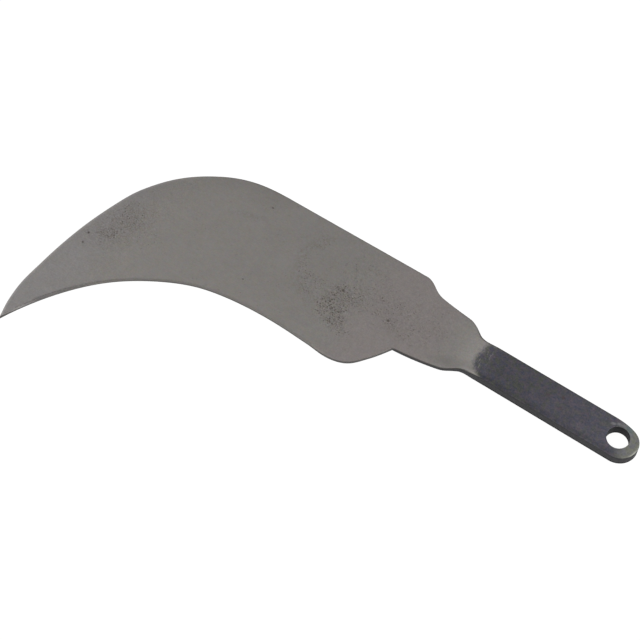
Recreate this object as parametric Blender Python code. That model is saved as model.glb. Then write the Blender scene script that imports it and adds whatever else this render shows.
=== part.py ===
"""Hook knife blade, forged in one piece from a flat steel bar.

The tang keeps the bar's full thickness and has a hole at its end.  A short ramp on both
faces leads to the blade, which is drawn out thin and wide and hooks round to a point.
The outline is drawn in the XY plane about the hole: X runs along the tang towards the
hole, Y towards the spine, and the bar's middle plane is Z = 0.
"""
from math import ceil, cos, hypot, pi, radians, sin

import bmesh
import bpy
import numpy as np

MM = 0.001

TANG_WIDTH = 17.0 * MM
TANG_THICKNESS = 6.0 * MM
HOLE_RADIUS = 5.0 * MM
HOLE_OFFSET = 0.5 * MM        # the hole lies this far off the tang's centre line
HOLE_TO_END = 9.6 * MM
HOLE_SIDES = 48

BLADE_THICKNESS = 1.8 * MM
RAMP_START = -79.0 * MM       # where the blade starts to thicken towards the tang
RAMP_END = -62.0 * MM         # where it reaches the tang's full thickness
RAMP_STRIPS = 10

POINT_SPACING = 6.0 * MM      # longest step along a curved stretch of the outline
POINT_TURN = 4.0              # largest turn between two outline points, in degrees

# How the rim is worked: how far the face stops inside the outline, and how far the
# outline lies below the face.
POINT_RIM = (0.3 * MM, 0.5 * MM)
WIDE_BEVEL = (2.1 * MM, 0.75 * MM)
MIDDLE_BEVEL = (1.1 * MM, 0.7 * MM)
FINE_BEVEL = (0.6 * MM, 0.6 * MM)
BLUNT_RIM = (0.2 * MM, 0.2 * MM)
BAR_RIM = (0.8 * MM, 0.8 * MM)

HALF_WIDTH = TANG_WIDTH / 2
END_CENTRE = HOLE_TO_END - HALF_WIDTH

# The outline's stations, anticlockwise from the point: x, y, the direction in which the
# outline arrives, the direction in which it leaves, and the rim.  One smooth curve joins
# each station to the next.
CUTTING_EDGE = [
    (-251.3 * MM, -102.5 * MM, 286, 66, POINT_RIM),
    (-242.3 * MM, -85.0 * MM, 59, 59, WIDE_BEVEL),
    (-228.1 * MM, -65.8 * MM, 47.5, 47.5, MIDDLE_BEVEL),
    (-209.7 * MM, -50.6 * MM, 32.5, 32.5, FINE_BEVEL),
    (-191.9 * MM, -41.4 * MM, 20.5, 20.5, FINE_BEVEL),
    (-176.5 * MM, -37.6 * MM, 9, 9, FINE_BEVEL),
    (-150.6 * MM, -35.7 * MM, 0, 0, FINE_BEVEL),
    (-132.6 * MM, -36.3 * MM, -2.5, -2.5, FINE_BEVEL),
]
HEEL = [
    (-124.6 * MM, -36.7 * MM, 2, 2, BLUNT_RIM),
    (-113.3 * MM, -33.3 * MM, 38, 38, BLUNT_RIM),
    (-108.0 * MM, -27.1 * MM, 52.5, 52.5, BLUNT_RIM),
    (-101.8 * MM, -17.3 * MM, 61, 4, BLUNT_RIM),
]
NECK_LOWER_SIDE = [
    (-94.0 * MM, -16.5 * MM, 8, 8, BLUNT_RIM),
    (-80.3 * MM, -13.9 * MM, 14, 14, BLUNT_RIM),
    (-77.2 * MM, -12.5 * MM, 32, 32, BLUNT_RIM),
    (-73.0 * MM, -9.9 * MM, 30, 30, BAR_RIM),
    (-68.2 * MM, -8.8 * MM, 3, 3, BAR_RIM),
    (-61.0 * MM, -HALF_WIDTH, 0, 0, BAR_RIM),
]
TANG = [
    (END_CENTRE, -HALF_WIDTH, 0, 0, BAR_RIM),
    (HOLE_TO_END, -0.3 * MM, 90, 90, BAR_RIM),
    (7.0 * MM, 5.5 * MM, 139, 139, BAR_RIM),
    (3.2 * MM, 7.4 * MM, 163, 163, BAR_RIM),
    (-6.0 * MM, HALF_WIDTH, 180, 180, BAR_RIM),
    (-66.0 * MM, HALF_WIDTH, 180, 180, BAR_RIM),
]
SHOULDERS = [
    (-73.4 * MM, 9.9 * MM, 148, 148, BAR_RIM),
    (-76.7 * MM, 12.2 * MM, 147, 147, BLUNT_RIM),
    (-82.0 * MM, 14.4 * MM, 174, 174, BLUNT_RIM),
    (-97.0 * MM, 16.3 * MM, 170, 170, BLUNT_RIM),
    (-101.5 * MM, 18.1 * MM, 148, 148, BLUNT_RIM),
    (-103.8 * MM, 19.7 * MM, 147, 147, BLUNT_RIM),
]
SPINE = [
    (-109.0 * MM, 21.7 * MM, 180.7, 180.7, BLUNT_RIM),
    (-182.0 * MM, 20.6 * MM, 180.8, 180.8, BLUNT_RIM),
    (-200.2 * MM, 18.8 * MM, 193, 193, BLUNT_RIM),
    (-214.9 * MM, 12.9 * MM, 210.5, 210.5, BLUNT_RIM),
    (-230.7 * MM, 0.7 * MM, 226.5, 226.5, BLUNT_RIM),
    (-241.2 * MM, -14.1 * MM, 241, 241, BLUNT_RIM),
    (-245.8 * MM, -25.8 * MM, 253, 253, BLUNT_RIM),
    (-251.0 * MM, -46.3 * MM, 259.5, 259.5, BLUNT_RIM),
    (-254.0 * MM, -70.0 * MM, 266, 266, BLUNT_RIM),
    (-254.8 * MM, -82.0 * MM, 269.5, 269.5, BLUNT_RIM),
    (-253.6 * MM, -93.9 * MM, 280, 280, BLUNT_RIM),
]
STATIONS = CUTTING_EDGE + HEEL + NECK_LOWER_SIDE + TANG + SHOULDERS + SPINE

STEEL_COLOUR = (0.20, 0.195, 0.185, 1.0)
STEEL_ROUGHNESS = 0.5


def clear_scene():
    for obj in list(bpy.data.objects):
        bpy.data.objects.remove(obj)


def direction(degrees):
    return np.array([cos(radians(degrees)), sin(radians(degrees))])


def stretch(start, end):
    """Points from one station up to the next, on a cubic that bends like an arc."""
    first = np.array(start[:2])
    last = np.array(end[:2])
    turn = (end[2] - start[3] + 180) % 360 - 180
    chord = hypot(*(last - first))
    handle = chord / (3 * cos(radians(turn) / 4) ** 2)
    leave = first + handle * direction(start[3])
    arrive = last - handle * direction(end[2])
    steps = 1
    if abs(turn) > 1:
        steps = ceil(max(abs(turn) / POINT_TURN, chord / POINT_SPACING))
    for step in range(steps):
        t = step / steps
        u = 1 - t
        place = u**3 * first + 3 * u * u * t * leave + 3 * u * t * t * arrive + t**3 * last
        rim = (1 - t) * np.array(start[4]) + t * np.array(end[4])
        yield place, rim


def outline():
    """The outline's points, and the rim at each of them."""
    points = []
    rims = []
    for start, end in zip(STATIONS, STATIONS[1:] + STATIONS[:1]):
        for place, rim in stretch(start, end):
            points.append(place)
            rims.append(rim)
    return np.array(points), np.array(rims)


def inward(points):
    """For each point, the way into the face that keeps an even distance to both sides."""
    ahead = np.roll(points, -1, axis=0) - points
    ahead /= np.linalg.norm(ahead, axis=1)[:, None]
    left = np.stack([-ahead[:, 1], ahead[:, 0]], axis=1)
    before = np.roll(left, 1, axis=0)
    middle = left + before
    return 2 * middle / (middle * middle).sum(axis=1)[:, None]


def bar_solid():
    """The outline at the bar's full thickness, with its rim worked on both faces."""
    points, rims = outline()
    inner = points + inward(points) * rims[:, :1]
    face = TANG_THICKNESS / 2
    rings = [
        [(x, y, face) for x, y in inner],
        [(x, y, face - drop) for (x, y), (_, drop) in zip(points, rims)],
        [(x, y, drop - face) for (x, y), (_, drop) in zip(points, rims)],
        [(x, y, -face) for x, y in inner],
    ]
    bm = bmesh.new()
    loops = [[bm.verts.new(place) for place in ring] for ring in rings]
    count = len(points)
    for upper, lower in zip(loops, loops[1:]):
        for here in range(count):
            after = (here + 1) % count
            bm.faces.new((upper[here], lower[here], lower[after], upper[after]))
    bm.faces.new(loops[0])
    bm.faces.new(reversed(loops[-1]))
    return bm


def draw_out_blade(bm):
    """Thin the blade from both faces, with the ramp in flat strips."""
    share = np.linspace(0, 1, RAMP_STRIPS + 1)
    ramp_x = RAMP_START + share * (RAMP_END - RAMP_START)
    blade_share = (1 + np.cos(pi * share)) / 2
    thinning = blade_share * (TANG_THICKNESS - BLADE_THICKNESS) / 2
    for x in ramp_x:
        everything = bm.verts[:] + bm.edges[:] + bm.faces[:]
        bmesh.ops.bisect_plane(bm, geom=everything, plane_co=(x, 0, 0), plane_no=(1, 0, 0))
    for vert in bm.verts:
        cut = float(np.interp(vert.co.x, ramp_x, thinning))
        vert.co.z -= cut if vert.co.z > 0 else -cut


def steel():
    material = bpy.data.materials.new("forged_steel")
    material.use_nodes = True
    shader = material.node_tree.nodes["Principled BSDF"]
    shader.inputs["Base Color"].default_value = STEEL_COLOUR
    shader.inputs["Roughness"].default_value = STEEL_ROUGHNESS
    shader.inputs["Metallic"].default_value = 1.0
    return material


def add_object(name, bm):
    mesh = bpy.data.meshes.new(name)
    bm.to_mesh(mesh)
    bm.free()
    obj = bpy.data.objects.new(name, mesh)
    bpy.context.scene.collection.objects.link(obj)
    return obj


def make_hole_cutter(place):
    bm = bmesh.new()
    bmesh.ops.create_cone(
        bm, cap_ends=True, segments=HOLE_SIDES,
        radius1=HOLE_RADIUS, radius2=HOLE_RADIUS, depth=2 * TANG_THICKNESS,
    )
    cutter = add_object("hole_cutter", bm)
    cutter.location = (place[0], place[1] + HOLE_OFFSET, place[2])
    cutter.hide_render = True
    cutter.display_type = "WIRE"
    return cutter


def make_forged_blade():
    points, _ = outline()
    middle = (points.min(axis=0) + points.max(axis=0)) / 2
    place = (-middle[0], -middle[1], TANG_THICKNESS / 2)
    bm = bar_solid()
    draw_out_blade(bm)
    bmesh.ops.recalc_face_normals(bm, faces=bm.faces[:])
    blade = add_object("forged_blade", bm)
    blade.location = place
    blade.data.materials.append(steel())
    cut = blade.modifiers.new("tang_hole", "BOOLEAN")
    cut.operation = "DIFFERENCE"
    cut.solver = "EXACT"
    cut.object = make_hole_cutter(place)
    blade.data.shade_smooth()
    blade.data.set_sharp_from_angle(angle=radians(20))
    return blade


clear_scene()
make_forged_blade()
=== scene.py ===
"""Looks of the forged hook knife blade: a fine mesh over the CAD part, ground and pitted
steel with forge scale left on its tang, a pale floor, soft studio light and the camera."""
import random
from math import ceil, cos, hypot, pi, radians, sin

import bpy
import numpy as np
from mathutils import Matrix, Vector, geometry, noise


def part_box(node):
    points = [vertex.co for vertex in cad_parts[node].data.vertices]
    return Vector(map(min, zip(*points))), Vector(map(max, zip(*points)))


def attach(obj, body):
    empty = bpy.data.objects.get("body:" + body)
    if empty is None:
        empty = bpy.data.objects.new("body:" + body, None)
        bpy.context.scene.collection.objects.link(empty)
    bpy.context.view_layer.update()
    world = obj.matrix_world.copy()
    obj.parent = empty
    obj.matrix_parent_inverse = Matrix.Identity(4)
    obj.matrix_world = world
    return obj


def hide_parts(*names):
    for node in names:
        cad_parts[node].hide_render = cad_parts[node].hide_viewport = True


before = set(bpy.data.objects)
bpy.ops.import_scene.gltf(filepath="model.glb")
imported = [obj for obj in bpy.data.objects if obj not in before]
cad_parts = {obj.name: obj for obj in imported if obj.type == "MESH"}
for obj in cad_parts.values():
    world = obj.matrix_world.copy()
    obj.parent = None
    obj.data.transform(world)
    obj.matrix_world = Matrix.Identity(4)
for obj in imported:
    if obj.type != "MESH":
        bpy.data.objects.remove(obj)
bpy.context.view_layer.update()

MM = 0.001
NODE = "forged_blade"
CAD_LOW, CAD_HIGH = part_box(NODE)

# ---------------------------------------------------------------- driving dimensions

TANG_WIDTH = 17.0 * MM
TANG_THICKNESS = CAD_HIGH.z - CAD_LOW.z
HOLE_RADIUS = 5.0 * MM
HOLE_OFFSET = 0.5 * MM
HOLE_TO_END = 9.6 * MM
HOLE_SIDES = 96
HOLE_CHAMFER = 0.35 * MM

BLADE_THICKNESS = 1.8 * MM
RAMP_START = -79.0 * MM
RAMP_END = -62.0 * MM

POINT_SPACING = 0.8 * MM
POINT_TURN = 2.0
FACE_SPACING = 0.8 * MM
RIM_STEPS = 5
WALL_STEPS = 4

HALF_WIDTH = TANG_WIDTH / 2
END_CENTRE = HOLE_TO_END - HALF_WIDTH

# How the rim is worked: how far the face stops inside the outline, how far the outline
# lies below the face, and how round it is, from 0, a flat bevel, to 1, a quarter round.
POINT_RIM = (0.15 * MM, 0.6 * MM, 0.5)
WIDE_BEVEL = (1.2 * MM, 0.62 * MM, 0.0)
MIDDLE_BEVEL = (0.9 * MM, 0.70 * MM, 0.0)
FINE_BEVEL = (0.55 * MM, 0.75 * MM, 0.2)
BLUNT_RIM = (0.25 * MM, 0.25 * MM, 1.0)
BAR_RIM = (0.9 * MM, 0.8 * MM, 1.0)
# How far the faces wave: height, size and seed of each wave.
BLADE_WAVES = [(0.05 * MM, 34 * MM, 3.1), (0.012 * MM, 7 * MM, 5.7)]
TANG_WAVES = [(0.10 * MM, 11 * MM, 8.3), (0.05 * MM, 4 * MM, 2.9)]
TANG_SINK = 0.08 * MM         # keeps the tang's waves inside the bar

FLAT_RIM = 0.3                # rims less round than this meet the face in a sharp line
SHARP_ANGLE = 50              # in degrees: steeper edges than this are shaded sharp

# The outline's stations, as in part.py: x, y, the direction in which the outline
# arrives, the direction in which it leaves, and the rim.
CUTTING_EDGE = [
    (-251.3 * MM, -102.5 * MM, 286, 66, POINT_RIM),
    (-242.3 * MM, -85.0 * MM, 59, 59, WIDE_BEVEL),
    (-228.1 * MM, -65.8 * MM, 47.5, 47.5, MIDDLE_BEVEL),
    (-209.7 * MM, -50.6 * MM, 32.5, 32.5, FINE_BEVEL),
    (-191.9 * MM, -41.4 * MM, 20.5, 20.5, FINE_BEVEL),
    (-176.5 * MM, -37.6 * MM, 9, 9, FINE_BEVEL),
    (-150.6 * MM, -35.7 * MM, 0, 0, FINE_BEVEL),
    (-132.6 * MM, -36.3 * MM, -2.5, -2.5, FINE_BEVEL),
]
HEEL = [
    (-124.6 * MM, -36.7 * MM, 2, 2, BLUNT_RIM),
    (-113.3 * MM, -33.3 * MM, 38, 38, BLUNT_RIM),
    (-108.0 * MM, -27.1 * MM, 52.5, 52.5, BLUNT_RIM),
    (-101.8 * MM, -17.3 * MM, 61, 4, BLUNT_RIM),
]
NECK_LOWER_SIDE = [
    (-94.0 * MM, -16.5 * MM, 8, 8, BLUNT_RIM),
    (-80.3 * MM, -13.9 * MM, 14, 14, BLUNT_RIM),
    (-77.2 * MM, -12.5 * MM, 32, 32, BLUNT_RIM),
    (-73.0 * MM, -9.9 * MM, 30, 30, BAR_RIM),
    (-68.2 * MM, -8.8 * MM, 3, 3, BAR_RIM),
    (-61.0 * MM, -HALF_WIDTH, 0, 0, BAR_RIM),
]
TANG = [
    (END_CENTRE, -HALF_WIDTH, 0, 0, BAR_RIM),
    (HOLE_TO_END, -0.3 * MM, 90, 90, BAR_RIM),
    (7.0 * MM, 5.5 * MM, 139, 139, BAR_RIM),
    (3.2 * MM, 7.4 * MM, 163, 163, BAR_RIM),
    (-6.0 * MM, HALF_WIDTH, 180, 180, BAR_RIM),
    (-66.0 * MM, HALF_WIDTH, 180, 180, BAR_RIM),
]
SHOULDERS = [
    (-73.4 * MM, 9.9 * MM, 148, 148, BAR_RIM),
    (-76.7 * MM, 12.2 * MM, 147, 147, BLUNT_RIM),
    (-82.0 * MM, 14.4 * MM, 174, 174, BLUNT_RIM),
    (-97.0 * MM, 16.3 * MM, 170, 170, BLUNT_RIM),
    (-101.5 * MM, 18.1 * MM, 148, 148, BLUNT_RIM),
    (-103.8 * MM, 19.7 * MM, 147, 147, BLUNT_RIM),
]
SPINE = [
    (-109.0 * MM, 21.7 * MM, 180.7, 180.7, BLUNT_RIM),
    (-182.0 * MM, 20.6 * MM, 180.8, 180.8, BLUNT_RIM),
    (-200.2 * MM, 18.8 * MM, 193, 193, BLUNT_RIM),
    (-214.9 * MM, 12.9 * MM, 210.5, 210.5, BLUNT_RIM),
    (-230.7 * MM, 0.7 * MM, 226.5, 226.5, BLUNT_RIM),
    (-241.2 * MM, -14.1 * MM, 241, 241, BLUNT_RIM),
    (-245.8 * MM, -25.8 * MM, 253, 253, BLUNT_RIM),
    (-251.0 * MM, -46.3 * MM, 259.5, 259.5, BLUNT_RIM),
    (-254.0 * MM, -70.0 * MM, 266, 266, BLUNT_RIM),
    (-254.8 * MM, -82.0 * MM, 269.5, 269.5, BLUNT_RIM),
    (-253.6 * MM, -93.9 * MM, 280, 280, BLUNT_RIM),
]
STATIONS = CUTTING_EDGE + HEEL + NECK_LOWER_SIDE + TANG + SHOULDERS + SPINE

# Corrosion pits, as groups: centre, half lengths along and across, the group's own turn
# in degrees, how many pits, and their smallest and largest radius.
UPPER_PITS = [
    (-134.2 * MM, -17.0 * MM, 8.4 * MM, 6.0 * MM, -35, 165, 0.12 * MM, 0.29 * MM),
    (-127.5 * MM, -21.5 * MM, 7.0 * MM, 4.5 * MM, -20, 50, 0.10 * MM, 0.24 * MM),
    (-132.2 * MM, -7.4 * MM, 8.5 * MM, 6.5 * MM, 10, 120, 0.10 * MM, 0.25 * MM),
    (-135.0 * MM, -9.0 * MM, 5.5 * MM, 3.6 * MM, 0, 44, 0.12 * MM, 0.27 * MM),
    (-121.0 * MM, -5.0 * MM, 8.0 * MM, 6.5 * MM, 0, 36, 0.10 * MM, 0.22 * MM),
    (-106.0 * MM, -3.0 * MM, 14.0 * MM, 8.5 * MM, -12, 100, 0.09 * MM, 0.23 * MM),
    (-145.5 * MM, -11.0 * MM, 8.0 * MM, 6.5 * MM, 0, 60, 0.09 * MM, 0.21 * MM),
    (-153.0 * MM, -9.0 * MM, 3.8 * MM, 9.0 * MM, 40, 46, 0.09 * MM, 0.21 * MM),
    (-158.5 * MM, 5.0 * MM, 3.8 * MM, 9.0 * MM, -14, 36, 0.09 * MM, 0.19 * MM),
    (-238.0 * MM, -25.5 * MM, 6.5 * MM, 4.2 * MM, 50, 50, 0.11 * MM, 0.27 * MM),
    (-233.5 * MM, -31.5 * MM, 6.5 * MM, 4.5 * MM, 60, 36, 0.10 * MM, 0.25 * MM),
    (-239.2 * MM, -41.4 * MM, 5.5 * MM, 3.4 * MM, 30, 48, 0.11 * MM, 0.28 * MM),
    (-221.5 * MM, -34.0 * MM, 7.0 * MM, 5.5 * MM, 0, 18, 0.09 * MM, 0.20 * MM),
    (-236.0 * MM, -44.0 * MM, 9.0 * MM, 6.0 * MM, 30, 50, 0.08 * MM, 0.17 * MM),
    (-127.0 * MM, 4.0 * MM, 15.0 * MM, 9.0 * MM, 0, 100, 0.08 * MM, 0.18 * MM),
    (-98.0 * MM, 1.0 * MM, 17.0 * MM, 12.0 * MM, 0, 120, 0.08 * MM, 0.16 * MM),
    (-175.0 * MM, -10.0 * MM, 75.0 * MM, 30.0 * MM, 0, 150, 0.07 * MM, 0.16 * MM),
]
# Single deep pits: centre and radius.
UPPER_HOLES = [
    (-135.6 * MM, -5.4 * MM, 0.66 * MM), (-110.9 * MM, -6.8 * MM, 0.60 * MM),
    (-186.2 * MM, 12.1 * MM, 0.40 * MM), (-246.5 * MM, -45.9 * MM, 0.52 * MM),
    (-245.5 * MM, -51.3 * MM, 0.46 * MM), (-175.3 * MM, -26.0 * MM, 0.30 * MM),
    (-137.3 * MM, -13.2 * MM, 0.44 * MM), (-141.6 * MM, -16.8 * MM, 0.36 * MM),
    (-134.6 * MM, -15.6 * MM, 0.40 * MM), (-139.0 * MM, -20.3 * MM, 0.34 * MM),
]
LOWER_PITS = [
    (-215.0 * MM, -22.0 * MM, 12.0 * MM, 7.0 * MM, 30, 150, 0.11 * MM, 0.30 * MM),
    (-120.0 * MM, 6.0 * MM, 14.0 * MM, 6.0 * MM, -10, 150, 0.11 * MM, 0.28 * MM),
    (-165.0 * MM, -20.0 * MM, 12.0 * MM, 6.0 * MM, 0, 80, 0.10 * MM, 0.24 * MM),
    (-175.0 * MM, -10.0 * MM, 70.0 * MM, 24.0 * MM, 0, 150, 0.07 * MM, 0.16 * MM),
]
LOWER_HOLES = [
    (-118.3 * MM, 8.1 * MM, 0.60 * MM), (-212.5 * MM, -17.4 * MM, 0.55 * MM),
    (-161.0 * MM, 9.5 * MM, 0.45 * MM),
]
PIT_TURN = -35.0              # most pits run this way, in degrees from X
PIT_CLEARANCE = 1.2 * MM      # pits stay this far inside the rim
HAZE_REACH = 2.0 * MM         # how far the steel round a pit is dulled
CLOSEST_POINTS = 0.09 * MM    # two points of the pits are never closer than this
UPPER_SEED = 11
LOWER_SEED = 23
PIT_SPREAD = 28               # how much the pits' turns vary, in degrees
PIT_RINGS = ((0, 1), (0.55, 6), (1.0, 9), (1.4, 9))   # share of a pit's size, and points
PIT_DEPTH = 0.38              # how deep a pit is for its size
LARGEST_BOWL = 0.45 * MM      # larger pits are no deeper than one of this size
PIT_MARGIN = 0.2 * MM         # the face's grid stays this far from the pits' points
HAZE_PIT = 0.3 * MM           # the size of pit that counts as one in the haze
HAZE_GAIN = 0.35


# ------------------------------------------------------------ colours, stains and light

BLUEISH_STEEL = (0.362, 0.350, 0.366, 1.0)
PINKISH_STEEL = (0.400, 0.340, 0.344, 1.0)
GREENISH_STEEL = (0.350, 0.368, 0.326, 1.0)
YELLOWISH_STEEL = (0.386, 0.360, 0.306, 1.0)
RUSTY_STEEL = (0.285, 0.240, 0.205, 1.0)
PIT_STEEL = (0.160, 0.140, 0.124, 1.0)
# Painted shade: the ground steel's sides are darker than its faces.
SHADED_EDGE_STEEL = (0.105, 0.100, 0.096, 1.0)
BLUE_SCALE = (0.124, 0.132, 0.176, 1.0)
OLIVE_SCALE = (0.138, 0.146, 0.126, 1.0)
PURPLE_SCALE = (0.156, 0.134, 0.162, 1.0)
# The scale's sides, and the hole's wall most, are painted darker as shade.
WALL_SCALE_AND_SHADE = (0.056, 0.055, 0.058, 1.0)
HOLE_SCALE_AND_SHADE = (0.037, 0.037, 0.040, 1.0)
RUST = (0.150, 0.082, 0.080, 1.0)
FILED_STEEL = (0.328, 0.333, 0.285, 1.0)
TEAL_STEEL = (0.255, 0.305, 0.310, 1.0)
GREY_STEEL = (0.300, 0.300, 0.318, 1.0)
PALE_STEEL = (0.420, 0.410, 0.425, 1.0)
# The colour of a painted highlight on the tang end's rim.
HIGHLIGHT_STEEL = (0.50, 0.51, 0.45, 1.0)

SPECULAR_LEVEL = 0.06         # where the steel is scaled, and on the sides painted dark as shade
GRAIN_HEIGHT = 0.006          # heights of the bump, in millimetres
LINE_HEIGHT = 0.003
CRUST_HEIGHT = 0.035

# Places on the faces, in millimetres from the hole: centres, then half sizes.
HOLE_CENTRE = (0.0, HOLE_OFFSET / MM)
HOLE_SIZE = (HOLE_RADIUS / MM, HOLE_RADIUS / MM)
STAIN_CENTRE = (-140.0, 0.0)
STAIN_SIZE = (21.0, 19.5)
NECK_STAIN_CENTRE = (-104.0, -3.0)
STREAK_CENTRE = (-193.0, 2.6)
NECK_SHADOW = (-76.5, -8.6)
RUST_SPOTS = [((-34.5, 0.8), 0.9, 0.35), ((-28.5, 3.2), 0.8, 0.8), ((-27.2, -1.6), 1.0, 0.5)]
PALE_SPOTS = [((-4.9, 4.9), 1.0, 0.85), ((-2.7, 6.1), 0.9, 0.75), ((-0.4, 7.0), 1.5, 0.3)]
TEAL_PATCH = (1.9, 6.6)
TIP_STAIN_CENTRE = (-237.0, -34.0)
# Where the painted highlight lies on the tang end's rim.
END_RIM_HIGHLIGHT = (9.4, -2.2)

WHITE = (1.0, 1.0, 1.0, 1.0)
FLOOR_REACH = 8.0             # half the floor's side, in metres
FLOOR_GAP = 0.2 * MM          # the floor lies this far below the forging
FLOOR_COLOUR = (0.1, 0.1, 0.1, 1.0)
FLOOR_ROUGHNESS = 0.9
FLOOR_GLOW = 0.98
TENT_LIGHT = 0.586
# Panels in the tent: a direction, the angles from it where the panel is whole and where
# it ends, and how much light it adds. A negative one is a dark card.
TENT_PANELS = [
    ((-0.84, -0.13, 0.52), 8, 45, 0.43),
    ((0.93, 0.14, 0.35), 18, 35, 1.35),
    ((0.0, 1.0, 0.05), 26, 55, -0.84),
    ((0.45, -0.31, 0.84), 15, 41, -0.49),
]
LEAST_LIGHT = 0.05

# The camera stands where the photograph was taken from.
SENSOR_WIDTH = 36.0
FOCAL_LENGTH = 97.3
CAMERA_AZIMUTH = 34.86        # in degrees
CAMERA_ELEVATION = 60.53
CAMERA_FROM_HOLE = (76.7 * MM, -328.7 * MM, 657.8 * MM)


# ---------------------------------------------------------------------- the outline

def direction(degrees):
    return np.array([cos(radians(degrees)), sin(radians(degrees))])


def stretch(start, end):
    """Points from one station up to the next, on a cubic that bends like an arc."""
    first = np.array(start[:2])
    last = np.array(end[:2])
    turn = (end[2] - start[3] + 180) % 360 - 180
    chord = hypot(*(last - first))
    handle = chord / (3 * cos(radians(turn) / 4) ** 2)
    leave = first + handle * direction(start[3])
    arrive = last - handle * direction(end[2])
    steps = ceil(max(abs(turn) / POINT_TURN, chord / POINT_SPACING))
    for step in range(steps):
        t = step / steps
        u = 1 - t
        place = u**3 * first + 3 * u * u * t * leave + 3 * u * t * t * arrive + t**3 * last
        rim = (1 - t) * np.array(start[4]) + t * np.array(end[4])
        yield place, rim


def outline():
    points = []
    rims = []
    for start, end in zip(STATIONS, STATIONS[1:] + STATIONS[:1]):
        for place, rim in stretch(start, end):
            points.append(place)
            rims.append(rim)
    return np.array(points), np.array(rims)


def inward(points):
    """For each point, the way into the face that keeps an even distance to both sides."""
    ahead = np.roll(points, -1, axis=0) - points
    ahead /= np.linalg.norm(ahead, axis=1)[:, None]
    left = np.stack([-ahead[:, 1], ahead[:, 0]], axis=1)
    middle = left + np.roll(left, 1, axis=0)
    return 2 * middle / (middle * middle).sum(axis=1)[:, None]


def distance_to(points, line):
    """Distance from each point to the nearest of the outline's points."""
    nearest = np.full(len(points), 1e9)
    for block in range(0, len(line), 64):
        gap = points[:, None] - line[None, block:block + 64]
        nearest = np.minimum(nearest, np.sqrt((gap * gap).sum(axis=2)).min(axis=1))
    return nearest


def inside(points, line):
    """Even-odd test of which points lie inside a closed outline."""
    after = np.roll(line, -1, axis=0)
    odd = np.zeros(len(points), bool)
    for (ax, ay), (bx, by) in zip(line, after):
        spans = (ay > points[:, 1]) != (by > points[:, 1])
        if ay != by:
            cross = (bx - ax) * (points[:, 1] - ay) / (by - ay) + ax
            odd ^= spans & (points[:, 0] < cross)
    return odd


# ------------------------------------------------------------------------- the pits

class Pits:
    """Oval pits scattered over one face, each with a centre, half lengths and a turn."""

    def __init__(self, groups, holes, seed, line):
        draw = random.Random(seed)
        rows = []
        for x, y, along, across, turn, count, least, most in groups:
            way = direction(turn)
            for _ in range(count):
                angle = draw.uniform(0, 2 * pi)
                out = draw.random() ** 0.5 * draw.uniform(0.75, 1.15)
                u = out * cos(angle) * along
                v = out * sin(angle) * across
                place = (x + u * way[0] - v * way[1], y + u * way[1] + v * way[0])
                radius = least + (most - least) * draw.random() ** 2.2
                length = radius * draw.uniform(1.0, 2.1)
                rows.append((*place, length, radius, PIT_TURN + draw.gauss(0, PIT_SPREAD)))
        for x, y, radius in holes:
            rows.append((x, y, radius * 1.25, radius, PIT_TURN + draw.gauss(0, PIT_SPREAD)))
        rows = np.array(rows)
        clear = inside(rows[:, :2], line) & (distance_to(rows[:, :2], line) > PIT_CLEARANCE)
        self.rows = rows[clear]

    def points(self):
        """Rings of points that give each pit its bowl, none too close to another."""
        taken = {}
        chosen = []
        for x, y, length, radius, turn in self.rows[np.argsort(-self.rows[:, 3])]:
            way = direction(turn)
            for ring, count in PIT_RINGS:
                for step in range(count):
                    angle = 2 * pi * (step + ring) / count
                    u = ring * length * cos(angle)
                    v = ring * radius * sin(angle)
                    place = (x + u * way[0] - v * way[1], y + u * way[1] + v * way[0])
                    cell = (int(place[0] // CLOSEST_POINTS), int(place[1] // CLOSEST_POINTS))
                    near = [
                        other
                        for a in (-1, 0, 1) for b in (-1, 0, 1)
                        for other in taken.get((cell[0] + a, cell[1] + b), ())
                    ]
                    if all(hypot(place[0] - p, place[1] - q) > CLOSEST_POINTS for p, q in near):
                        taken.setdefault(cell, []).append(place)
                        chosen.append(place)
        return np.array(chosen)

    def depth(self, points):
        """How deep each point lies in a pit, and how dark the pit makes it, from 0 to 1."""
        deep = np.zeros(len(points))
        share = np.zeros(len(points))
        for x, y, length, radius, turn in self.rows:
            near = np.flatnonzero(np.abs(points - (x, y)).max(axis=1) < length * 1.5)
            way = direction(turn)
            gap = points[near] - (x, y)
            u = (gap @ way) / length
            v = (gap[:, 1] * way[0] - gap[:, 0] * way[1]) / radius
            bowl = np.clip(1 - u * u - v * v, 0, 1)
            size = min(radius, LARGEST_BOWL)
            deep[near] = np.maximum(deep[near], PIT_DEPTH * size * bowl)
            strength = min(0.85, 0.35 + radius / (0.6 * MM))
            dark = strength * np.clip(1.3 - u * u - v * v, 0, 1)
            share[near] = np.maximum(share[near], dark)
        return deep, share

    def haze(self, points):
        """How closely the pits crowd round each point, from 0 up to 1."""
        crowd = np.zeros(len(points))
        for x, y, _, radius, _ in self.rows:
            near = np.flatnonzero(np.abs(points - (x, y)).max(axis=1) < 2.5 * HAZE_REACH)
            gap = points[near] - (x, y)
            weight = (radius / HAZE_PIT) ** 2
            crowd[near] += weight * np.exp(-(gap * gap).sum(axis=1) / HAZE_REACH ** 2)
        return 1 - np.exp(-HAZE_GAIN * crowd)


# ------------------------------------------------------------------- the fine surface

def half_thickness(x):
    share = np.clip((x - RAMP_START) / (RAMP_END - RAMP_START), 0, 1)
    rise = (1 - np.cos(pi * share)) / 2
    return (BLADE_THICKNESS + rise * (TANG_THICKNESS - BLADE_THICKNESS)) / 2


def wave(x, y, side, parts):
    """Smooth hills and hollows about 0, different on each side."""
    height = 0
    for part, size, seed in parts:
        height += part * noise.noise(Vector((x / size, y / size, seed + side)))
    return height


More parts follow.
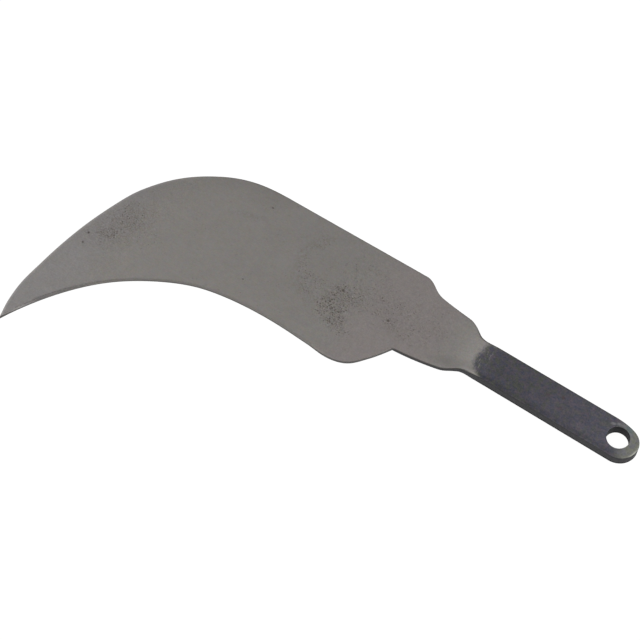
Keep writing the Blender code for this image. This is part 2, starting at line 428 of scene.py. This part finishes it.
def forged(x, y, side):
    """How far the hammered and ground face stands off its flat plane."""
    on_tang = min(max((x - RAMP_START) / (RAMP_END - RAMP_START), 0), 1)
    blade = wave(x, y, side, BLADE_WAVES)
    tang = wave(x, y, side, TANG_WAVES) - TANG_SINK
    return (1 - on_tang) * blade + on_tang * tang


def ring_of_hole(radius):
    turns = np.arange(HOLE_SIDES) * 2 * pi / HOLE_SIDES
    return np.stack([radius * np.cos(turns), HOLE_OFFSET + radius * np.sin(turns)], axis=1)


def face_points(rim_line, hole_line, pits):
    """An even triangular grid over the face, and the pits' own points, clear of the rims."""
    low = rim_line.min(axis=0)
    high = rim_line.max(axis=0)
    rise = FACE_SPACING * sin(radians(60))
    rows = []
    for number, y in enumerate(np.arange(low[1], high[1], rise)):
        xs = np.arange(low[0] + (number % 2) * FACE_SPACING / 2, high[0], FACE_SPACING)
        rows.append(np.stack([xs, np.full(len(xs), y)], axis=1))
    grid = np.concatenate(rows)
    grid = grid[inside(grid, rim_line)]
    clear = np.minimum(distance_to(grid, rim_line), distance_to(grid, hole_line))
    from_hole = np.hypot(grid[:, 0], grid[:, 1] - HOLE_OFFSET)
    keep = (clear > 0.55 * FACE_SPACING) & (from_hole > HOLE_RADIUS + HOLE_CHAMFER)
    grid = grid[keep]
    bowls = pits.points()
    grid = grid[distance_to(grid, bowls) > PIT_MARGIN]
    return np.concatenate([grid, bowls])


def cap(rim_line, hole_line, pits):
    """Triangles over the face; the rim's points come first, then the hole's."""
    points = np.concatenate([rim_line, hole_line, face_points(rim_line, hole_line, pits)])
    count = len(rim_line)
    sides = len(hole_line)
    edges = [(i, (i + 1) % count) for i in range(count)]
    edges += [(count + i, count + (i + 1) % sides) for i in range(sides)]
    made = geometry.delaunay_2d_cdt([Vector(p) for p in points], edges, [], 1, 1e-9)
    faces = np.array([list(face) for face in made[2]])
    middle = points[faces].mean(axis=1)
    return points, faces[~inside(middle, hole_line)]


class Shell:
    """The vertices and faces of the forging as they are added, ring by ring."""

    def __init__(self):
        self.verts = []
        self.faces = []
        self.marks = {name: [] for name in ("pitted", "pit_haze", "bevel_line")}

    def add(self, flat, heights, **marks):
        start = len(self.verts)
        self.verts.extend((x, y, z) for (x, y), z in zip(flat, heights))
        for name, values in self.marks.items():
            values.extend(marks.get(name, np.zeros(len(flat))))
        return start

    def join(self, upper, lower, count):
        for here in range(count):
            after = (here + 1) % count
            face = (upper + here, lower + here, lower + after, upper + after)
            self.faces.append(face)


def rim_ring(points, rims, into, level, side):
    """One ring of the worked rim: level 0 is the outline and level 1 the face's border."""
    turn = level * pi / 2
    round_inset = 1 - cos(turn)
    round_drop = 1 - sin(turn)
    inset = rims[:, 0] * (rims[:, 2] * round_inset + (1 - rims[:, 2]) * level)
    drop = rims[:, 1] * (rims[:, 2] * round_drop + (1 - rims[:, 2]) * (1 - level))
    flat = points + into * inset[:, None]
    stand = np.array([forged(x, y, side) for x, y in flat])
    return flat, side * (half_thickness(flat[:, 0]) - drop + stand * level)


def add_rim(shell, points, rims):
    """The whole outer wall, from the upper face's border to the lower face's."""
    into = inward(points)
    levels = np.arange(RIM_STEPS + 1) / RIM_STEPS
    upper = [rim_ring(points, rims, into, level, 1) for level in levels[::-1]]
    lower = [rim_ring(points, rims, into, level, -1) for level in levels]
    wall = []
    for step in range(1, WALL_STEPS):
        share = step / WALL_STEPS
        wall.append((points, (1 - share) * upper[-1][1] + share * lower[0][1]))
    rings = upper + wall + lower
    line = (rims[:, 2] < FLAT_RIM).astype(float)
    starts = []
    for number, ring in enumerate(rings):
        on_border = number in (0, len(rings) - 1)
        starts.append(shell.add(*ring, bevel_line=line if on_border else 0 * line))
    for above, below in zip(starts, starts[1:]):
        shell.join(above, below, len(points))
    return {1: starts[0], -1: starts[-1]}


def add_hole(shell):
    """The drilled hole's wall, with its rims broken on both faces."""
    levels = np.arange(RIM_STEPS + 1) / RIM_STEPS
    starts = []
    for side, steps in ((1, levels[::-1]), (-1, levels)):
        for level in steps:
            turn = level * pi / 2
            flat = ring_of_hole(HOLE_RADIUS + HOLE_CHAMFER * (1 - cos(turn)))
            stand = np.array([forged(x, y, side) for x, y in flat])
            drop = HOLE_CHAMFER * (1 - sin(turn))
            starts.append(shell.add(flat, side * (TANG_THICKNESS / 2 - drop + stand * level)))
    for above, below in zip(starts, starts[1:]):
        shell.join(below, above, HOLE_SIDES)
    return {1: starts[0], -1: starts[-1]}


def add_face(shell, side, rim_start, hole_start, count, pits):
    """The face between the rim's border and the hole's, with its pits."""
    rim_line = np.array([v[:2] for v in shell.verts[rim_start:rim_start + count]])
    hole_line = np.array([v[:2] for v in shell.verts[hole_start:hole_start + HOLE_SIDES]])
    flat, triangles = cap(rim_line, hole_line, pits)
    borders = count + HOLE_SIDES
    flat_inner = flat[borders:]
    stand = np.array([forged(x, y, side) for x, y in flat_inner])
    deep, share = pits.depth(flat_inner)
    height = side * (half_thickness(flat_inner[:, 0]) + stand - deep)
    start = shell.add(flat_inner, height, pitted=share, pit_haze=pits.haze(flat_inner))
    numbers = np.concatenate([
        rim_start + np.arange(count), hole_start + np.arange(HOLE_SIDES),
        start + np.arange(len(flat_inner)),
    ])
    for triangle in numbers[triangles].tolist():
        shell.faces.append(triangle if side > 0 else triangle[::-1])


def sharpen_bevels(mesh, rims, border_starts):
    """Flat bevels meet the face in a sharp line, and rounded rims run into it."""
    count = len(rims)
    flat = rims[:, 2] < FLAT_RIM
    sharp = set()
    for start in border_starts:
        for here in np.flatnonzero(flat).tolist():
            sharp.add(frozenset((start + here, start + (here + 1) % count)))
    for edge in mesh.edges:
        if frozenset(edge.vertices) in sharp:
            edge.use_edge_sharp = True


def set_attribute(mesh, name, values):
    attribute = mesh.attributes.new(name, "FLOAT", "POINT")
    attribute.data.foreach_set("value", np.array(values, np.float32))


def build_mesh():
    points, rims = outline()
    count = len(points)
    shell = Shell()
    rim_starts = add_rim(shell, points, rims)
    hole_starts = add_hole(shell)
    upper = Pits(UPPER_PITS, UPPER_HOLES, UPPER_SEED, points)
    lower = Pits(LOWER_PITS, LOWER_HOLES, LOWER_SEED, points)
    for side, pits in ((1, upper), (-1, lower)):
        add_face(shell, side, rim_starts[side], hole_starts[side], count, pits)
    mesh = bpy.data.meshes.new("forged_steel_surface")
    mesh.from_pydata(shell.verts, [], shell.faces)
    mesh.update()
    mesh.shade_smooth()
    mesh.set_sharp_from_angle(angle=radians(SHARP_ANGLE))
    sharpen_bevels(mesh, rims, rim_starts.values())
    flat = np.array(shell.verts)[:, :2]
    set_attribute(mesh, "rim_distance", distance_to(flat, points))
    for name, values in shell.marks.items():
        set_attribute(mesh, name, values)
    return mesh, points


# ------------------------------------------------------------------------- materials

class Nodes:
    """A short way to write a material's node network."""

    def __init__(self, tree):
        self.tree = tree

    def add(self, kind, inputs=(), **settings):
        node = self.tree.nodes.new(kind)
        for name, value in settings.items():
            setattr(node, name, value)
        for name, value in dict(inputs).items():
            self.feed(node.inputs[name], value)
        return node

    def feed(self, socket, value):
        if isinstance(value, bpy.types.NodeSocket):
            self.tree.links.new(value, socket)
        elif socket.type == "VECTOR":
            socket.default_value = value[:3]
        else:
            socket.default_value = value

    def math(self, operation, *values):
        node = self.tree.nodes.new("ShaderNodeMath")
        node.operation = operation
        for socket, value in zip(node.inputs, values):
            self.feed(socket, value)
        return node.outputs[0]

    def clamp(self, value):
        return self.add("ShaderNodeClamp", {"Value": value}).outputs[0]

    def smooth(self, value, low, high, to_low=0.0, to_high=1.0):
        """Eases from to_low at low up to to_high at high."""
        node = self.add("ShaderNodeMapRange", {
            "Value": value, "From Min": low, "From Max": high,
            "To Min": to_low, "To Max": to_high,
        }, interpolation_type="SMOOTHSTEP")
        return node.outputs["Result"]

    def noise(self, place, size, detail=2.0, roughness=0.5, longer=(1, 1, 1), shift=(0, 0, 0)):
        """Noise about 0.5 whose features are about size across, in millimetres."""
        scale = [1 / (size * part) for part in longer]
        mapping = self.add("ShaderNodeMapping", {
            "Vector": place, "Scale": scale, "Location": shift,
        })
        node = self.add("ShaderNodeTexNoise", {
            "Vector": mapping.outputs[0], "Scale": 1.0, "Detail": detail, "Roughness": roughness,
        })
        return node.outputs[0]

    def spread(self, value, amount):
        """Noise about 0.5 turned into a factor about 1."""
        return self.math("MULTIPLY_ADD", value, 2 * amount, 1 - amount)

    def reach(self, x, y, centre, half_x, half_y, turn=0.0):
        """How far out a place lies in an oval: 0 at its centre and 1 on its border."""
        way = direction(turn)
        right = self.math("SUBTRACT", x, centre[0])
        up = self.math("SUBTRACT", y, centre[1])
        along = self.math("MULTIPLY_ADD", right, way[0], self.math("MULTIPLY", up, way[1]))
        across = self.math("MULTIPLY_ADD", up, way[0], self.math("MULTIPLY", right, -way[1]))
        u = self.math("DIVIDE", along, half_x)
        v = self.math("DIVIDE", across, half_y)
        square = self.math("MULTIPLY_ADD", u, u, self.math("MULTIPLY", v, v))
        return self.math("SQRT", square)

    def blob(self, x, y, centre, half_x, half_y, turn=0.0, soft=1.0):
        """1 inside an oval, easing to 0 past its border."""
        reach = self.reach(x, y, centre, half_x, half_y, turn)
        return self.smooth(reach, 1 - soft / 2, 1 + soft / 2, 1.0, 0.0)

    def mix(self, share, first, second):
        node = self.add("ShaderNodeMix", {"Factor": share}, data_type="RGBA")
        self.feed(node.inputs["A"], first)
        self.feed(node.inputs["B"], second)
        return node.outputs["Result"]

    def tint(self, colour, factor):
        """A colour times a number."""
        node = self.add("ShaderNodeVectorMath", operation="SCALE")
        self.feed(node.inputs[0], colour)
        self.feed(node.inputs["Scale"], factor)
        return node.outputs[0]


def ground_stains_and_shade(n, place, x, y, rim, haze, tone):
    """How much stains, a painted shadow, painted shade along the spine's side and its rims and a
    painted highlight on the ramp darken or lighten the ground faces, with lighter rims at the
    tip, and the haze of the pits joined with that of the stain near the point."""
    ragged = n.noise(place, 3.0, 4, 0.7, shift=(1, 5, 0))
    shift = n.math("MULTIPLY_ADD", ragged, 0.6, -0.3)

    reach = n.math("ADD", n.reach(x, y, STAIN_CENTRE, *STAIN_SIZE), shift)
    stain = n.smooth(reach, 0.6, 1.2, 1.0, 0.0)
    from_rim = n.math("ABSOLUTE", n.math("SUBTRACT", reach, 1.0))
    ring = n.smooth(from_rim, 0.03, 0.16, 1.0, 0.0)
    ring = n.math("MULTIPLY", ring, n.smooth(x, -147, -138, 1.0, 0.0))
    ring = n.math("MULTIPLY", ring, n.smooth(tone, 0.40, 0.60))
    wander = n.math("MULTIPLY_ADD", shift, 14, y)
    neck_stain = n.blob(x, wander, NECK_STAIN_CENTRE, 19, 9, 0, 1.4)
    streak = n.blob(x, n.math("MULTIPLY_ADD", shift, 5, y), STREAK_CENTRE, 8, 1.3, 20, 1.4)
    streak = n.math("MULTIPLY", streak, n.smooth(tone, 0.35, 0.55))
    # Painted highlight on the ramp up to the tang.
    ramp_highlight = n.math("MULTIPLY", n.smooth(x, -88, -77), n.smooth(x, -68, -62, 1.0, 0.0))
    # Painted shade along the spine's side near the point.
    spine_painted_shade = n.math("MULTIPLY", n.smooth(rim, 0, 14, 1.0, 0.0), n.smooth(y, -30, -12))
    spine_painted_shade = n.math("MULTIPLY", spine_painted_shade, n.smooth(x, -195, -172, 1.0, 0.0))
    shadow = n.blob(x, y, NECK_SHADOW, 7, 2.6, 18, 1.6)
    tip_stain = n.blob(x, wander, TIP_STAIN_CENTRE, 14, 8, 58, 1.6)
    tip_stain = n.math("MULTIPLY", tip_stain, n.smooth(tone, 0.30, 0.55, 0.3, 1.0))
    haze = n.math("MAXIMUM", haze, n.math("MULTIPLY", tip_stain, 0.8))
    # Painted shade along the rims on the spine's side.
    border = n.math("MULTIPLY", n.smooth(rim, 0.2, 0.9, 1.0, 0.0), n.smooth(y, 0, 8))
    near_tip = n.smooth(x, -228, -214, 1.0, 0.0)
    tip_rim = n.math("MULTIPLY", n.smooth(rim, 0.8, 1.3, 1.0, 0.0), near_tip)

    dark = n.math("MULTIPLY", stain, 0.01)
    for part, amount in (
        (ring, 0.08), (haze, 0.04), (neck_stain, 0.02), (streak, 0.10), (spine_painted_shade, 0.085),
        (ramp_highlight, -0.07), (n.smooth(x, -150, -95), -0.06), (shadow, 0.18), (tip_stain, 0.05),
        (border, 0.06), (tip_rim, -0.13),
    ):
        dark = n.math("MULTIPLY_ADD", part, amount, dark)
    return dark, haze


def ground_steel(n, place, x, y, rim, haze):
    """Colour and roughness of the ground faces: soft grey with fine grain and stains, and
    painted shade and highlights.
    """
    broad = n.noise(place, 14, 3)
    mottle = n.noise(place, 2.6, 3, 0.6, shift=(7, 3, 0))
    grain = n.noise(place, 0.7, 2, 0.7, shift=(2, 9, 4))
    tone = n.noise(place, 1.5, 2, 0.7, shift=(5, 2, 9))
    tinge = n.noise(place, 1.1, 3, 0.7, shift=(8, 8, 2))
    lines = n.noise(place, 0.5, 2, longer=(12, 1, 1))
    dark, haze = ground_stains_and_shade(n, place, x, y, rim, haze, tone)
    light = n.math("SUBTRACT", 1.0, dark)
    coarse = n.math("MAXIMUM", n.smooth(x, -160, -125), n.smooth(x, -228, -212, 1.0, 0.0))
    coarse = n.math("MULTIPLY", coarse, 0.22)
    grit = n.math("MULTIPLY_ADD", n.math("SUBTRACT", grain, 0.5), coarse, 1.0)
    light = n.math("MULTIPLY", light, grit)
    for value, amount in ((broad, 0.05), (mottle, 0.07), (grain, 0.14), (lines, 0.06)):
        light = n.math("MULTIPLY", light, n.spread(value, amount))
    flecks = n.math("MULTIPLY", haze, n.math("MULTIPLY_ADD", grain, 0.95, -0.43))
    light = n.math("MULTIPLY", light, n.math("ADD", flecks, 1.0))
    shade = n.mix(n.smooth(tinge, 0.36, 0.64), GREENISH_STEEL, PINKISH_STEEL)
    other = n.mix(n.smooth(tone, 0.36, 0.64), BLUEISH_STEEL, YELLOWISH_STEEL)
    shade = n.mix(0.45, shade, other)
    on_neck = n.math("MULTIPLY", n.smooth(x, -135, -115), n.smooth(x, -90, -80, 0.35, 0.0))
    shade = n.mix(on_neck, shade, PINKISH_STEEL)
    shade = n.mix(n.smooth(x, -245, -228, 0.35, 0.0), shade, BLUEISH_STEEL)
    specks = n.noise(place, 0.9, 3, 0.6, shift=(3, 8, 1))
    rusty = n.math("MULTIPLY", haze, n.smooth(specks, 0.42, 0.66))
    rusty = n.math("MULTIPLY", rusty, n.smooth(x, -230, -215, 0.6, 0.3))
    shade = n.mix(rusty, shade, RUSTY_STEEL)
    rough = n.math("MULTIPLY_ADD", grain, 0.10, 0.40)
    rough = n.math("MULTIPLY_ADD", haze, 0.08, rough)
    return n.tint(shade, light), rough


def forge_scale(n, place, x, y):
    """Colour and roughness of the bar's own blue-black skin, with rust and worn edges."""
    patches = n.noise(place, 5.5, 4, 0.7, shift=(3, 1, 8))
    spots = n.noise(place, 1.6, 3, 0.7, shift=(5, 5, 2))
    tinge = n.noise(place, 2.2, 3, 0.7, shift=(2, 6, 6))
    grain = n.noise(place, 0.75, 2, 0.7, shift=(8, 2, 1))
    light = n.smooth(x, -62, -2, 0.94, 1.19)
    light = n.math("ADD", light, n.smooth(x, -66, -60, 0.14, 0.0))
    for value, amount in ((patches, 0.24), (spots, 0.32), (grain, 0.44)):
        light = n.math("MULTIPLY", light, n.spread(value, amount))
    lower = n.math("MULTIPLY", n.smooth(y, -8.2, -5.0, 1.0, 0.0), n.smooth(patches, 0.35, 0.6))
    light = n.math("MULTIPLY", light, n.math("MULTIPLY_ADD", lower, -0.32, 1.0))
    shade = n.mix(n.smooth(spots, 0.38, 0.62), BLUE_SCALE, PURPLE_SCALE)
    olive = n.math("MULTIPLY", n.smooth(tinge, 0.42, 0.66), n.smooth(x, -45, -20, 1.0, 0.6))
    shade = n.mix(olive, shade, OLIVE_SCALE)
    shifted = n.math("MULTIPLY_ADD", spots, 2.4, n.math("ADD", x, -1.2))
    rusty = n.math("MULTIPLY", n.blob(x, y, (-31.0, 0.0), 14, 7, 0, 1.6), 0.5)
    rusty = n.math("MULTIPLY", rusty, n.smooth(grain, 0.55, 0.72))
    for centre, size, strength in RUST_SPOTS:
        spot = n.math("MULTIPLY", n.blob(shifted, y, centre, size, size, 0, 1.4), strength)
        rusty = n.math("MAXIMUM", rusty, spot)
    shade = n.mix(n.math("MULTIPLY", rusty, 0.6), shade, RUST)
    rough = n.math("MULTIPLY_ADD", spots, 0.2, 0.42)
    return n.tint(shade, light), rough


def scale_share(n, place, x, y, rim):
    """Where the scale is left: past the ragged end of the grinding."""
    offset = n.math("ABSOLUTE", n.math("SUBTRACT", y, 1.0))
    bulge = n.math("MULTIPLY", n.math("POWER", offset, 4.0), 0.00075)
    coarse = n.noise(place, 4.0, 3, 0.6, shift=(4, 4, 4))
    fine = n.noise(place, 1.2, 3, 0.7, shift=(6, 1, 3))
    border = n.math("SUBTRACT", n.math("ADD", x, 69.4), bulge)
    border = n.math("ADD", border, n.math("MULTIPLY_ADD", coarse, 5.0, -2.5))
    border = n.math("ADD", border, n.math("MULTIPLY_ADD", fine, 4.0, -2.0))
    share = n.smooth(border, -1.6, 1.9)
    scratches = n.noise(place, 1.1, 2, 0.6, longer=(0.6, 2.2, 1), shift=(1, 7, 3))
    zone = n.math("MULTIPLY", n.smooth(x, -71, -69), n.smooth(x, -66.5, -61, 1.0, 0.0))
    flecks = n.math("MULTIPLY", zone, n.smooth(scratches, 0.55, 0.68))
    share = n.math("MULTIPLY", share, n.math("MULTIPLY_ADD", flecks, -0.55, 1.0))
    stripe = n.math("MULTIPLY", n.smooth(rim, 0.6, 1.6, 1.0, 0.0), n.smooth(y, 5, 7))
    stripe = n.math("MULTIPLY", stripe, n.smooth(x, -66, -57, 1.0, 0.0))
    stripe = n.math("MULTIPLY", stripe, n.smooth(fine, 0.40, 0.55))
    share = n.math("MULTIPLY", share, n.math("MULTIPLY_ADD", stripe, -0.55, 1.0))
    return n.clamp(share)


def filed_end(n, place, x, y, scale):
    """The tang's end past the hole, filed to grey, with a few worn pale places and a painted
    highlight on its rim.
    """
    ragged = n.noise(place, 2.6, 3, 0.65, shift=(9, 4, 4))
    wear = n.noise(place, 1.0, 3, 0.7, shift=(1, 1, 6))
    reach = n.math("MULTIPLY_ADD", y, 0.35, x)
    reach = n.math("ADD", reach, n.math("MULTIPLY_ADD", ragged, 5.0, -2.5))
    filed = n.smooth(reach, -2.5, 5.0)
    filed = n.math("MULTIPLY", filed, n.smooth(wear, 0.25, 0.5, 0.7, 1.0))
    shade = n.mix(n.smooth(ragged, 0.45, 0.60), FILED_STEEL, GREY_STEEL)
    shade = n.mix(n.blob(x, y, TEAL_PATCH, 2.2, 1.3, -40, 1.2), shade, TEAL_STEEL)
    # Painted highlight where the end's rim catches the light.
    shade = n.mix(n.blob(x, y, END_RIM_HIGHLIGHT, 2.3, 0.9, 72, 1.2), shade, HIGHLIGHT_STEEL)
    shade = n.mix(filed, scale, n.tint(shade, n.spread(wear, 0.34)))
    for centre, size, strength in PALE_SPOTS:
        spot = n.blob(x, y, centre, size, size * 0.6, 25, 1.4)
        spot = n.math("MULTIPLY", spot, n.smooth(wear, 0.35, 0.55, 0.3, 1.0))
        shade = n.mix(n.math("MULTIPLY", spot, strength), shade, PALE_STEEL)
    return shade


def edge_shade(n, place, z, scale_and_shade, scaled, hole):
    """The rough sides, painted darker than the faces as shade: darker on the bar's scale and the
    neck's lower side, darker still in the hole, and on the scale darkest at the bottom.
    """
    rough = n.noise(place, 1.4, 4, 0.7, shift=(6, 6, 1))
    dark = n.mix(scale_and_shade, SHADED_EDGE_STEEL, WALL_SCALE_AND_SHADE)
    dark = n.mix(hole, dark, HOLE_SCALE_AND_SHADE)
    # Painted shade: the scale's sides darken towards the bottom.
    low = n.math("MULTIPLY", n.smooth(z, -2.2, -0.9, 0.85, 0.0), scaled)
    return n.tint(dark, n.math("MULTIPLY", n.math("SUBTRACT", 1.0, low), n.spread(rough, 0.5)))


def relief(n, place, scaled):
    """The finest relief: grain and grinding lines all over, and a crust on the scale."""
    fine = n.noise(place, 0.5, 3, 0.6)
    lines = n.noise(place, 0.25, 2, longer=(16, 1, 1), shift=(3, 3, 3))
    crust = n.noise(place, 1.3, 5, 0.7, shift=(2, 2, 7))
    height = n.math("MULTIPLY", lines, LINE_HEIGHT)
    height = n.math("MULTIPLY_ADD", fine, GRAIN_HEIGHT, height)
    crust = n.math("MULTIPLY", scaled, crust)
    height = n.math("MULTIPLY_ADD", crust, CRUST_HEIGHT, height)
    bump = n.add("ShaderNodeBump", {"Height": height, "Distance": MM, "Strength": 1.0})
    return bump.outputs["Normal"]


def steel():
    """The finish of the whole forging, ground on the blade and scaled on the tang."""
    material = bpy.data.materials.new("forged_steel_finish")
    material.use_nodes = True
    n = Nodes(material.node_tree)
    shader = material.node_tree.nodes["Principled BSDF"]
    coords = n.add("ShaderNodeTexCoord")
    place = n.add("ShaderNodeVectorMath", operation="SCALE")
    n.feed(place.inputs[0], coords.outputs["Object"])
    place.inputs["Scale"].default_value = 1 / MM
    place = place.outputs[0]
    x, y, z = n.add("ShaderNodeSeparateXYZ", {"Vector": place}).outputs
    normal = n.add("ShaderNodeSeparateXYZ", {"Vector": coords.outputs["Normal"]})
    wall = n.smooth(n.math("ABSOLUTE", normal.outputs["Z"]), 0.30, 0.85, 1.0, 0.0)
    rim, pitted, haze, line = (
        n.add("ShaderNodeAttribute", attribute_name=name).outputs["Fac"]
        for name in ("rim_distance", "pitted", "pit_haze", "bevel_line")
    )
    rim = n.math("DIVIDE", rim, MM)
    hole = n.smooth(n.reach(x, y, HOLE_CENTRE, *HOLE_SIZE), 1.05, 1.15, 1.0, 0.0)

    ground, ground_rough = ground_steel(n, place, x, y, rim, haze)
    scale, scale_rough = forge_scale(n, place, x, y)
    scale = filed_end(n, place, x, y, scale)
    scaled = scale_share(n, place, x, y, rim)
    shade = n.mix(scaled, ground, scale)
    # Painted shade: steel that faces the spine's side is darker, less so round the tang's end.
    back = n.smooth(normal.outputs["Y"], 0.15, 0.7, 0.0, 0.55)
    back = n.math("MULTIPLY", back, n.smooth(x, -6, 2, 1.0, 0.3))
    shade = n.tint(shade, n.math("SUBTRACT", 1.0, back))
    shade = n.tint(shade, n.math("MULTIPLY_ADD", line, -0.16, 1.0))
    # Painted shade: the neck's lower side is dark like the scale's sides, with a dark brim on
    # the face above it.
    neck_side = n.math("MULTIPLY", n.smooth(x, -103, -100), n.smooth(y, -6, -4, 1.0, 0.0))
    brim = n.math("MULTIPLY", n.smooth(rim, 0.2, 0.75, 0.6, 0.0), neck_side)
    brim = n.math("MULTIPLY", brim, n.smooth(x, -72, -66, 1.0, 0.0))
    shade = n.tint(shade, n.math("SUBTRACT", 1.0, brim))
    # Painted shade: the sides take the darker edge colours, over the scale and on the neck's
    # lower side.
    scale_and_shade = n.math("MAXIMUM", neck_side, scaled)
    shade = n.mix(wall, shade, edge_shade(n, place, z, scale_and_shade, scaled, hole))
    shade = n.mix(n.math("MULTIPLY", pitted, 0.8), shade, PIT_STEEL)
    rough = n.math("SUBTRACT", scale_rough, ground_rough)
    rough = n.math("MULTIPLY_ADD", scaled, rough, ground_rough)
    rough = n.math("MULTIPLY_ADD", wall, 0.12, rough)
    scaled_and_shaded_wall = n.math("MULTIPLY", wall, scale_and_shade)
    metal = n.math("MULTIPLY_ADD", scaled, -0.35, 1.0)
    metal = n.math("MULTIPLY", metal, n.math("SUBTRACT", 1.0, scaled_and_shaded_wall))
    n.feed(shader.inputs["Base Color"], shade)
    n.feed(shader.inputs["Roughness"], n.math("MULTIPLY_ADD", pitted, 0.25, rough))
    n.feed(shader.inputs["Metallic"], metal)
    shader.inputs["Specular IOR Level"].default_value = SPECULAR_LEVEL
    n.feed(shader.inputs["Normal"], relief(n, place, scaled))
    return material


# ---------------------------------------------------------------------------- pieces

def make_forging():
    mesh, points = build_mesh()
    piece = bpy.data.objects.new("forged_steel_blade", mesh)
    bpy.context.scene.collection.objects.link(piece)
    low = points.min(axis=0)
    piece.location = (CAD_LOW.x - low[0], CAD_LOW.y - low[1], (CAD_LOW.z + CAD_HIGH.z) / 2)
    mesh.materials.append(steel())
    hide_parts(NODE)
    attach(piece, "root")
    return piece


def make_floor():
    """A white table lit from within, so that it shows next to no shadow."""
    mesh = bpy.data.meshes.new("floor")
    reach = FLOOR_REACH
    corners = [(-reach, -reach, 0), (reach, -reach, 0), (reach, reach, 0), (-reach, reach, 0)]
    mesh.from_pydata(corners, [], [(0, 1, 2, 3)])
    floor = bpy.data.objects.new("floor", mesh)
    floor.location.z = CAD_LOW.z - FLOOR_GAP
    bpy.context.scene.collection.objects.link(floor)
    material = bpy.data.materials.new("floor_white")
    material.use_nodes = True
    shader = material.node_tree.nodes["Principled BSDF"]
    shader.inputs["Base Color"].default_value = FLOOR_COLOUR
    shader.inputs["Roughness"].default_value = FLOOR_ROUGHNESS
    shader.inputs["Emission Color"].default_value = WHITE
    shader.inputs["Emission Strength"].default_value = FLOOR_GLOW
    mesh.materials.append(material)


def make_world():
    """A plain light tent, brighter at the blade's end and the tang's, with two dark cards."""
    world = bpy.data.worlds.new("studio_tent")
    world.use_nodes = True
    n = Nodes(world.node_tree)
    way = n.add("ShaderNodeTexCoord").outputs["Generated"]
    light = TENT_LIGHT
    for axis, inner, outer, change in TENT_PANELS:
        dot = n.add("ShaderNodeVectorMath", operation="DOT_PRODUCT")
        n.feed(dot.inputs[0], way)
        dot.inputs[1].default_value = Vector(axis).normalized()
        panel = n.smooth(dot.outputs["Value"], cos(radians(outer)), cos(radians(inner)))
        light = n.math("MULTIPLY_ADD", panel, change, light)
    light = n.math("MAXIMUM", light, LEAST_LIGHT)
    background = world.node_tree.nodes["Background"]
    background.inputs["Color"].default_value = WHITE
    n.feed(background.inputs["Strength"], light)
    bpy.context.scene.world = world


def make_camera(piece):
    data = bpy.data.cameras.new("camera")
    data.sensor_width = SENSOR_WIDTH
    data.lens = FOCAL_LENGTH
    camera = bpy.data.objects.new("camera", data)
    azimuth = radians(CAMERA_AZIMUTH)
    elevation = radians(CAMERA_ELEVATION)
    hole = piece.location + Vector((0, HOLE_OFFSET, 0))
    camera.location = hole + Vector(CAMERA_FROM_HOLE)
    back = Vector((
        sin(azimuth) * cos(elevation), -cos(azimuth) * cos(elevation), sin(elevation),
    ))
    camera.rotation_euler = (-back).to_track_quat("-Z", "Y").to_euler()
    bpy.context.scene.collection.objects.link(camera)
    bpy.context.scene.camera = camera


forging = make_forging()
make_floor()
make_world()
make_camera(forging)
bpy.context.scene.view_settings.view_transform = "Standard"
